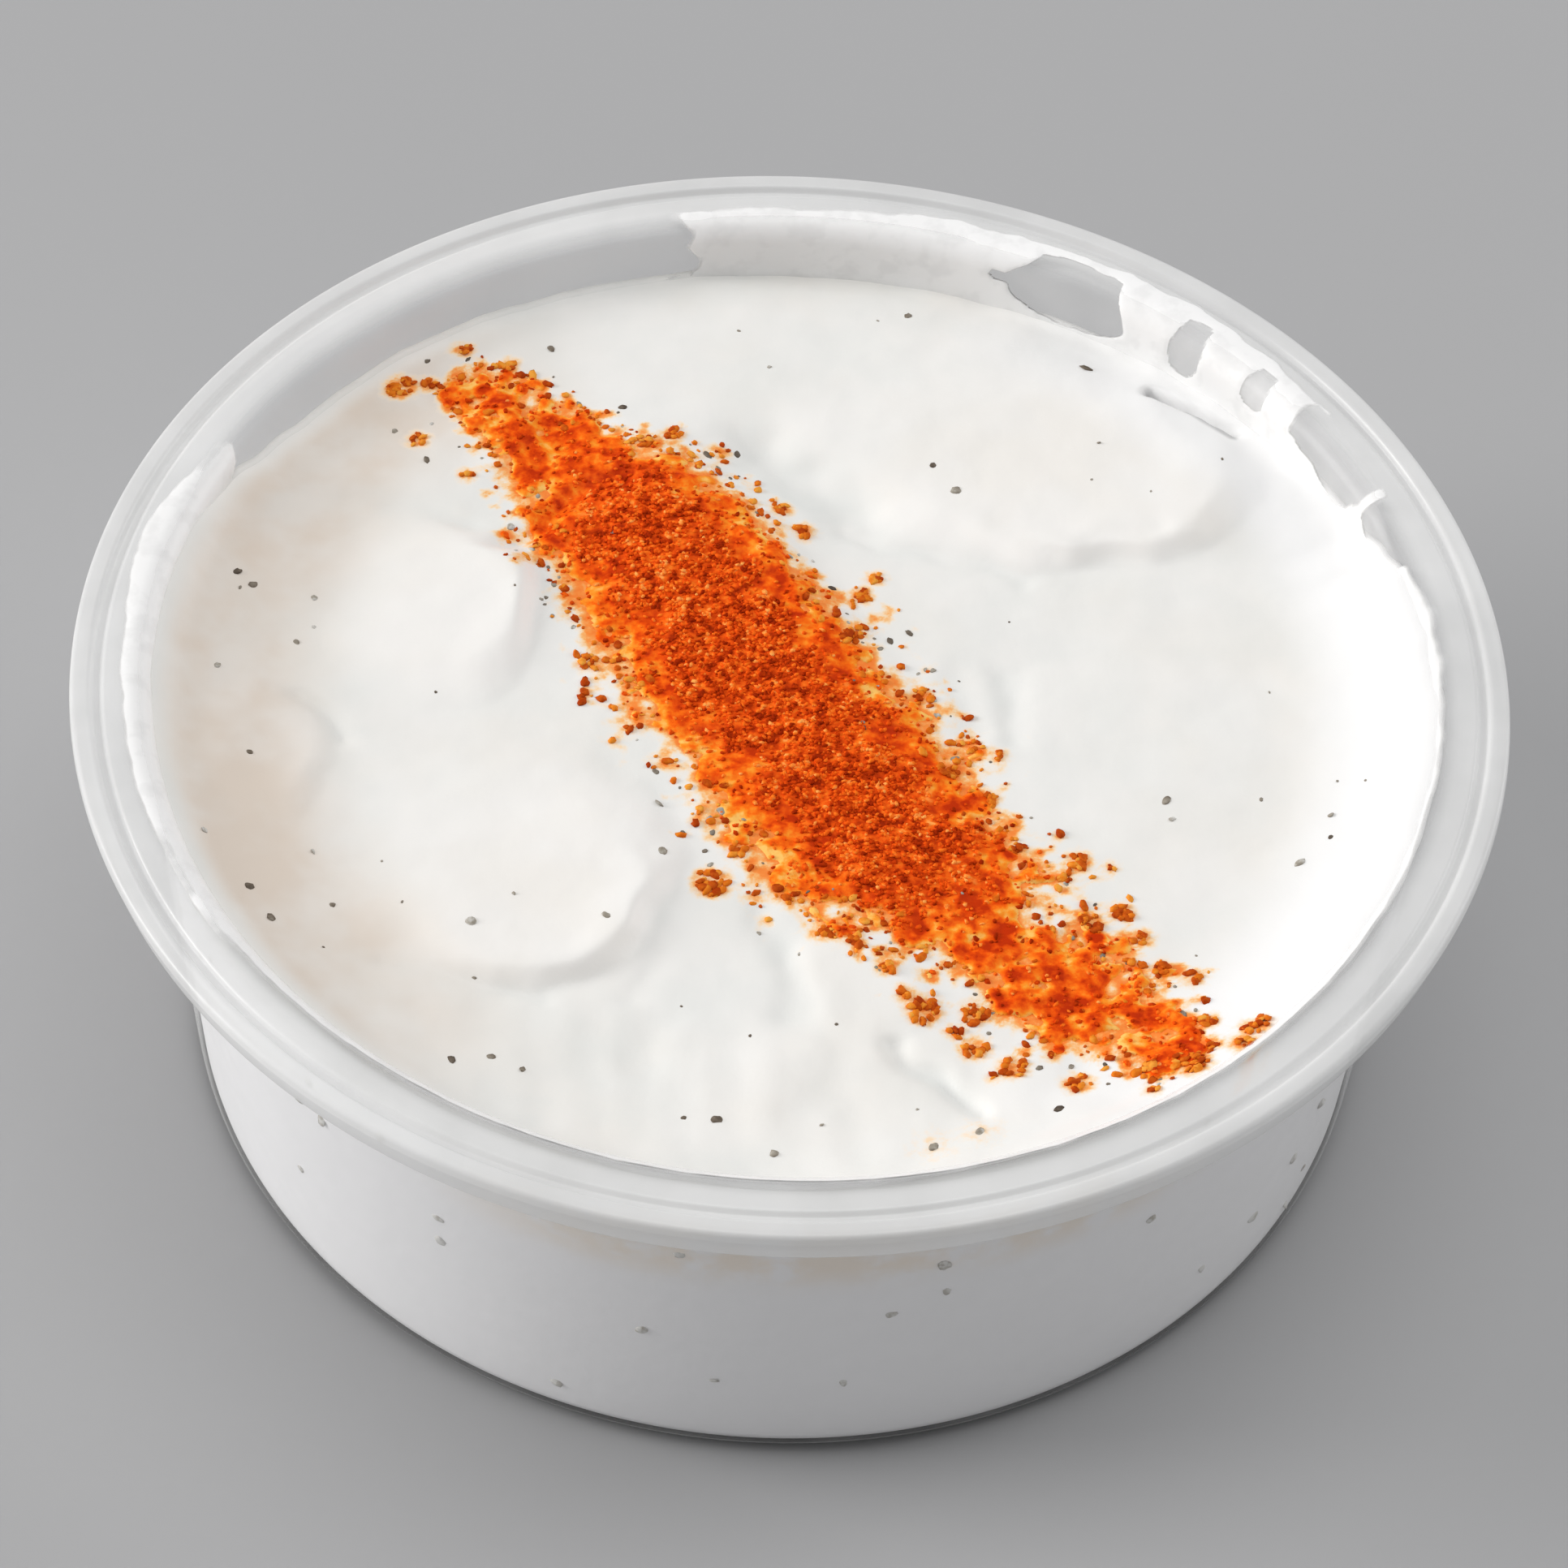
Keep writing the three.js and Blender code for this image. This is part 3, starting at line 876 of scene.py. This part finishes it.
def build_film():
    """The dip smeared up the inside of the wall, with clear windows left in it."""
    columns = 1120
    ledge_rows, rounding_rows, wall_rows = 7, 9, 16
    ledge_end = -1.75
    past_contact, past_ledge = 0.9, 0.4
    angle = np.linspace(-180, 180, columns, endpoint=False)
    turn = np.radians(angle)
    contact = wall_drop(np.cos(turn), np.sin(turn))
    wall_top = LEDGE_DROP + LEDGE_ROUNDING
    on_ledge = np.linspace(ledge_end, LEDGE_DROP, ledge_rows)[:-1]
    bend = np.linspace(0.0, math.pi / 2, rounding_rows)
    rounding = LEDGE_DROP + LEDGE_ROUNDING * (1.0 - np.cos(bend))
    above = np.hstack([on_ledge, rounding])[:, None] * np.ones(columns)
    lowest = np.maximum(contact + past_contact, wall_top + past_ledge)
    share = np.linspace(0, 1, wall_rows)[1:, None]
    drop = np.vstack([above, wall_top + share * (lowest - wall_top)])
    thickness = film_thickness(np.broadcast_to(angle, drop.shape), drop)
    radius, z, outward, upward = smear_base(drop)

    def raised(lift):
        away = radius + outward * lift
        return np.stack([away * np.cos(turn), away * np.sin(turn), z + upward * lift], 2)

    top = raised(np.maximum(thickness, FILM_LOWEST))
    under = raised(-SMEAR_WETTING)
    piece, row, column = closed_layer("wall_smears", top, under, thickness > FILM_FROM)
    store(piece, "depth", thickness[row, column])
    return piece


# Materials
class Nodes:
    """A short way to build a material's node tree."""

    def __init__(self, name):
        self.material = bpy.data.materials.new(name)
        self.material.use_nodes = True
        self.tree = self.material.node_tree
        self.shader = self.tree.nodes["Principled BSDF"]
        self.place = self.add("ShaderNodeTexCoord").outputs["Object"]

    def add(self, kind, **settings):
        node = self.tree.nodes.new(kind)
        for key, value in settings.items():
            setattr(node, key, value)
        return node

    def link(self, source, target):
        self.tree.links.new(source, target)

    def colour(self, source):
        self.link(source, self.shader.inputs["Base Color"])

    def set(self, **values):
        for key, value in values.items():
            self.shader.inputs[key.replace("_", " ")].default_value = value

    def noise(self, scale, detail, roughness=0.55):
        node = self.add("ShaderNodeTexNoise")
        node.inputs["Scale"].default_value = scale
        node.inputs["Detail"].default_value = detail
        node.inputs["Roughness"].default_value = roughness
        self.link(self.place, node.inputs["Vector"])
        return node.outputs["Fac"]

    def attribute(self, name):
        return self.add("ShaderNodeAttribute", attribute_name=name).outputs["Fac"]

    def math(self, operation, first, second, clamp=False):
        node = self.add("ShaderNodeMath", operation=operation, use_clamp=clamp)
        for socket, value in zip(node.inputs, (first, second)):
            if isinstance(value, (int, float)):
                socket.default_value = value
            else:
                self.link(value, socket)
        return node.outputs[0]

    def times(self, first, second, clamp=False):
        return self.math("MULTIPLY", first, second, clamp)

    def plus(self, first, second, clamp=False):
        return self.math("ADD", first, second, clamp)

    def remap(self, value, low, high, to_low=0.0, to_high=1.0):
        node = self.add("ShaderNodeMapRange", interpolation_type="SMOOTHSTEP")
        for socket, number in zip(list(node.inputs)[1:5], (low, high, to_low, to_high)):
            socket.default_value = number
        self.link(value, node.inputs[0])
        return node.outputs[0]

    def ramp(self, value, stops):
        node = self.add("ShaderNodeValToRGB")
        elements = node.color_ramp.elements
        while len(elements) < len(stops):
            elements.new(0.5)
        for element, (position, colour) in zip(elements, stops):
            element.position = position
            element.color = (*colour, 1.0)
        self.link(value, node.inputs[0])
        return node.outputs[0]

    def mix(self, factor, first, second):
        node = self.add("ShaderNodeMix", data_type="RGBA")
        self.link(factor, node.inputs[0])
        for socket, value in zip((node.inputs[6], node.inputs[7]), (first, second)):
            if isinstance(value, tuple):
                socket.default_value = (*value, 1.0)
            else:
                self.link(value, socket)
        return node.outputs[2]

    def bump(self, height, distance, strength):
        node = self.add("ShaderNodeBump")
        node.inputs["Strength"].default_value = strength
        node.inputs["Distance"].default_value = distance
        self.link(height, node.inputs["Height"])
        self.link(node.outputs[0], self.shader.inputs["Normal"])


DIP_WHITE = (0.90, 0.88, 0.85)
DIP_WARM = (0.86, 0.825, 0.77)
# Painted grey shade for the low hollows
DIP_HOLLOW_SHADE = (0.78, 0.79, 0.765)
DIP_SIDE = (0.93, 0.925, 0.935)
# Painted warm shade for a band on the front of the dip's side
DIP_FLANGE_SHADE = (0.90, 0.81, 0.71)
DIP_SHADE = (0.745, 0.65, 0.56)
# Painted light for the dip where it climbs the right wall
DIP_RIGHT_WALL_LIGHT = (0.935, 0.93, 0.925)
# Painted shadow for the inside of the cut
DIP_CUT_SHADOW = (0.42, 0.42, 0.42)
STAIN_TONES = (
    (0.0, (0.95, 0.84, 0.72)),
    (0.32, (0.95, 0.68, 0.40)),
    (0.5, (0.95, 0.45, 0.14)),
    (0.68, (0.95, 0.28, 0.045)),
    (1.0, (0.92, 0.17, 0.012)),
)
YOGHURT_IOR = 1.38


def dip_material():
    """Thick yoghurt: warm white, with painted grey shade where it is low, painted warm shade by the left
    wall and in a band on the front of its side, painted light where it climbs the right wall and painted
    shadow in the cut; stained where spice lies on it.
    """
    nodes = Nodes("yoghurt_dip")
    mottle = nodes.remap(nodes.noise(90.0, 2.0), 0.38, 0.72)
    # Painted grey shade in the low hollows of the folds, in patches
    low = nodes.remap(nodes.attribute("lift"), -0.5, 0.9, 0.9, 0.0)
    patches = nodes.remap(nodes.noise(160.0, 2.0), 0.25, 0.7, 0.35, 1.0)
    colour = nodes.mix(nodes.times(mottle, 0.6), DIP_WHITE, DIP_WARM)
    colour = nodes.mix(nodes.times(low, patches, clamp=True), colour, DIP_HOLLOW_SHADE)
    blotches = nodes.remap(nodes.noise(120.0, 3.0), 0.3, 0.65, 0.5, 1.0)
    colour = nodes.mix(nodes.times(nodes.attribute("shade"), blotches), colour, DIP_SHADE)
    # Painted light where the dip climbs the right wall
    colour = nodes.mix(nodes.attribute("right_wall_light"), colour, DIP_RIGHT_WALL_LIGHT)
    # Painted shadow inside the cut
    colour = nodes.mix(nodes.remap(nodes.attribute("cut"), 0.25, 1.0, 0.0, 0.8), colour, DIP_CUT_SHADOW)
    spread = nodes.remap(nodes.noise(1100.0, 3.0, 0.65), 0.25, 0.75, -0.2, 0.2)
    stain = nodes.plus(nodes.attribute("cover"), spread)
    tint = nodes.ramp(nodes.remap(stain, -0.8, 0.6), STAIN_TONES)
    colour = nodes.mix(nodes.remap(stain, -0.8, -0.15), colour, tint)
    colour = nodes.mix(nodes.attribute("side"), colour, DIP_SIDE)
    # Painted warm shade in a band on the front of the dip's side
    flange_shade = nodes.times(nodes.attribute("flange_shade"), nodes.remap(nodes.noise(260.0, 3.0), 0.3, 0.6))
    colour = nodes.mix(flange_shade, colour, DIP_FLANGE_SHADE)
    nodes.colour(colour)
    nodes.set(Roughness=0.4, IOR=YOGHURT_IOR)
    grain = nodes.plus(nodes.noise(700.0, 3.0), nodes.times(nodes.noise(220.0, 2.0), 1.5))
    nodes.bump(grain, 0.00006, 0.6)
    return nodes.material


SMEAR_WHITE = (0.96, 0.955, 0.95)
SMEAR_WARM = (0.93, 0.925, 0.918)
OPAQUE_DEPTH = 0.045


def smear_material():
    """The same yoghurt, thin enough on the wall to let light through."""
    nodes = Nodes("smear")
    mottle = nodes.remap(nodes.noise(90.0, 2.0), 0.35, 0.7)
    nodes.colour(nodes.mix(mottle, SMEAR_WHITE, SMEAR_WARM))
    veil = nodes.remap(nodes.attribute("depth"), 0.0, OPAQUE_DEPTH)
    streak = nodes.remap(nodes.noise(500.0, 3.0), 0.3, 0.7, 0.92, 1.08)
    nodes.link(nodes.times(veil, streak, clamp=True), nodes.shader.inputs["Alpha"])
    nodes.set(Roughness=0.38, IOR=YOGHURT_IOR)
    nodes.bump(nodes.noise(500.0, 3.0), 0.00003, 0.4)
    return nodes.material


PLASTIC_TONES = ((0.3, (0.90, 0.90, 0.895)), (0.7, (0.94, 0.94, 0.935)))

# Painted contact shadow: the plastic's underside is painted dark, fading out between two heights in metres
PLASTIC_CONTACT_SHADOW = (0.06, 0.06, 0.06)
CONTACT_SHADOW_FROM = 0.0016
CONTACT_SHADOW_FULL = 0.0008


def plastic_material():
    """Thin milky polypropylene: see-through in the wall, whiter in the rim and where seen edge on, opaque
    with a painted contact shadow at its very bottom.
    """
    nodes = Nodes("clear_plastic")
    cloud = nodes.noise(120.0, 2.0)
    tone = nodes.ramp(cloud, PLASTIC_TONES)
    parts = nodes.add("ShaderNodeSeparateXYZ")
    nodes.link(nodes.place, parts.inputs[0])
    # Painted contact shadow on the bottom of the plastic, which is also made opaque there
    contact_shadow = nodes.remap(parts.outputs[2], CONTACT_SHADOW_FULL, CONTACT_SHADOW_FROM, 1.0, 0.0)
    nodes.colour(nodes.mix(contact_shadow, tone, PLASTIC_CONTACT_SHADOW))
    squares = [nodes.math("POWER", parts.outputs[axis], 2.0) for axis in (0, 1)]
    radius = nodes.math("SQRT", nodes.plus(*squares), 0.0)
    wall = wall_outer(WALL_TOP)
    flange = nodes.remap(radius, (wall - 0.3) * MM, (wall + 1.8) * MM)
    facing = nodes.add("ShaderNodeLayerWeight")
    facing.inputs["Blend"].default_value = 0.35
    haze = nodes.plus(nodes.times(flange, 0.4), nodes.remap(cloud, 0.3, 0.7, 0.07, 0.13))
    haze = nodes.plus(haze, contact_shadow)
    edge = nodes.times(nodes.math("POWER", facing.outputs["Facing"], 2.0), 0.4)
    nodes.link(nodes.plus(haze, edge, clamp=True), nodes.shader.inputs["Alpha"])
    nodes.set(Roughness=0.2, IOR=1.49)
    nodes.bump(nodes.noise(900.0, 3.0), 0.00002, 0.35)
    return nodes.material


SPICE_IOR = 1.45
SPICE_TONES = (
    (0.0, (0.32, 0.02, 0.001)),
    (0.25, (0.56, 0.045, 0.002)),
    (0.5, (0.84, 0.095, 0.005)),
    (0.8, (0.98, 0.20, 0.015)),
    (1.0, (0.99, 0.42, 0.10)),
)
MOIST_TONES = (
    (0.0, (0.52, 0.03, 0.001)),
    (0.25, (0.80, 0.075, 0.002)),
    (0.5, (0.97, 0.16, 0.006)),
    (0.75, (0.98, 0.32, 0.025)),
    (1.0, (0.98, 0.56, 0.14)),
)
FLECK_TONES = (
    (0.0, (0.40, 0.045, 0.003)),
    (0.35, (0.62, 0.11, 0.007)),
    (0.7, (0.80, 0.22, 0.015)),
    (1.0, (0.85, 0.36, 0.05)),
)


def spice_nodes(name, scale):
    """Nodes of a grainy material, and the piece's own tone with a fine mottle over it."""
    nodes = Nodes(name)
    mottle = nodes.remap(nodes.noise(scale, 3.0), 0.25, 0.75, -0.2, 0.2)
    nodes.bump(nodes.noise(2600.0, 3.0), 0.00005, 0.7)
    return nodes, nodes.plus(nodes.attribute("tone"), mottle, clamp=True)


def grain_material(name, tones, roughness):
    """Grains that each have their own tone."""
    nodes, tone = spice_nodes(name, 1800.0)
    nodes.colour(nodes.ramp(tone, tones))
    nodes.set(Roughness=roughness, IOR=SPICE_IOR, Specular_IOR_Level=0.04)
    return nodes.material


def bed_material():
    """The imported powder: dry and dark red along the middle, moist and orange towards its edge."""
    nodes, tone = spice_nodes("spice_powder", 1600.0)
    dry = nodes.attribute("dry")
    cover = nodes.remap(nodes.attribute("cover"), 0.0, 0.8, 0.4, -0.2)
    clouds = nodes.remap(nodes.noise(420.0, 3.0), 0.3, 0.7, -0.25, 0.25)
    moist = nodes.plus(nodes.plus(nodes.times(tone, 0.8), cover), clouds, clamp=True)
    dry_tone = nodes.ramp(nodes.times(tone, 0.95), SPICE_TONES)
    nodes.colour(nodes.mix(dry, nodes.ramp(moist, MOIST_TONES), dry_tone))
    nodes.link(nodes.remap(dry, 0.0, 1.0, 0.5, 0.8), nodes.shader.inputs["Roughness"])
    nodes.set(IOR=SPICE_IOR, Specular_IOR_Level=0.06)
    return nodes.material


HERB_TONES = (
    (0.0, (0.09, 0.07, 0.055)),
    (0.35, (0.19, 0.155, 0.12)),
    (0.75, (0.37, 0.335, 0.28)),
    (1.0, (0.67, 0.66, 0.63)),
)


def finish_piece(piece, material, slot, *replaced):
    piece.data.materials.append(material)
    if replaced:
        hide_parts(*replaced)
    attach(piece, "root")


# The photograph's view: camera height over the level, its turn, and where the tub's origin shows
VIEW_HEIGHT = math.radians(48.49)
VIEW_ROLL = math.radians(2.887)
VIEW_DISTANCE = 8.4108 * RIM_RADIUS * MM
FRAME_PIXELS = 1932
FOCAL_PIXELS = 7000
ORIGIN_PIXEL = (968.3, 1202.7)
SENSOR = 36.0


def add_camera():
    right = Vector((1, 0, 0))
    up = Vector((0, math.sin(VIEW_HEIGHT), math.cos(VIEW_HEIGHT)))
    back = right.cross(up)
    middle = FRAME_PIXELS / 2
    aside = (ORIGIN_PIXEL[0] - middle) * VIEW_DISTANCE / FOCAL_PIXELS
    above = -(ORIGIN_PIXEL[1] - middle) * VIEW_DISTANCE / FOCAL_PIXELS
    data = bpy.data.cameras.new("camera")
    data.sensor_width = SENSOR
    data.lens = FOCAL_PIXELS / FRAME_PIXELS * SENSOR
    data.clip_start = 0.01
    camera = add_object("camera", data)
    turn = Matrix((right, up, back)).transposed().to_4x4()
    place = back * VIEW_DISTANCE - right * aside - up * above
    camera.matrix_world = Matrix.Translation(place) @ turn @ Matrix.Rotation(VIEW_ROLL, 4, "Z")
    bpy.context.scene.camera = camera


# Soft round lights: name, place in metres, width in metres, power in watts and colour
LIGHTS = (
    ("key", (-1.875, 0.13, 0.684), 1.1, 30.5, (1.0, 0.99, 0.98)),
    ("fill", (1.66, 0.75, 0.845), 1.2, 9.0, (1.0, 1.0, 1.0)),
    ("top", (0.15, 0.1, 1.8), 1.3, 10.3, (1.0, 1.0, 1.0)),
)
LIT_POINT = (0, 0, 0.02)
WORLD_COLOUR = (0.985, 0.99, 1.0, 1.0)
WORLD_STRENGTH = 0.39
FLOOR_SIZE = 6.0
FLOOR_TONES = ((0.35, (0.40, 0.40, 0.405)), (0.65, (0.42, 0.42, 0.425)))


def add_light(name, place, size, power, colour):
    data = bpy.data.lights.new(name, "AREA")
    data.shape = "DISK"
    data.size = size
    data.energy = power
    data.color = colour
    light = add_object(name, data)
    light.location = place
    light.rotation_euler = (Vector(LIT_POINT) - Vector(place)).to_track_quat("-Z", "Y").to_euler()


def add_stage():
    bpy.ops.mesh.primitive_plane_add(size=FLOOR_SIZE, location=(0, 0, 0))
    floor = bpy.context.object
    floor.name = "floor"
    nodes = Nodes("floor_matt")
    nodes.colour(nodes.ramp(nodes.noise(3.0, 2.0), FLOOR_TONES))
    nodes.set(Roughness=0.6)
    floor.data.materials.append(nodes.material)
    world = bpy.data.worlds.new("studio")
    world.use_nodes = True
    background = world.node_tree.nodes["Background"]
    background.inputs["Color"].default_value = WORLD_COLOUR
    background.inputs["Strength"].default_value = WORLD_STRENGTH
    bpy.context.scene.world = world
    for light in LIGHTS:
        add_light(*light)
    bpy.context.scene.view_settings.view_transform = "Standard"


add_camera()
add_stage()

finish_piece(revolve("clear_tub", tub_section(), TURN_STEPS), plastic_material(), "clear_plastic", "tub")
finish_piece(build_dip(), dip_material(), "dip", "tzatziki")
finish_piece(build_film(), smear_material(), "dip")
finish_piece(build_bed(), bed_material(), "red_spice")
finish_piece(build_grains(), grain_material("dry_grains", SPICE_TONES, 0.8), "red_spice")
finish_piece(build_flecks(), grain_material("moist_flecks", FLECK_TONES, 0.5), "red_spice")
finish_piece(build_specks(), grain_material("dark_herb", HERB_TONES, 0.6), "dark_herb")
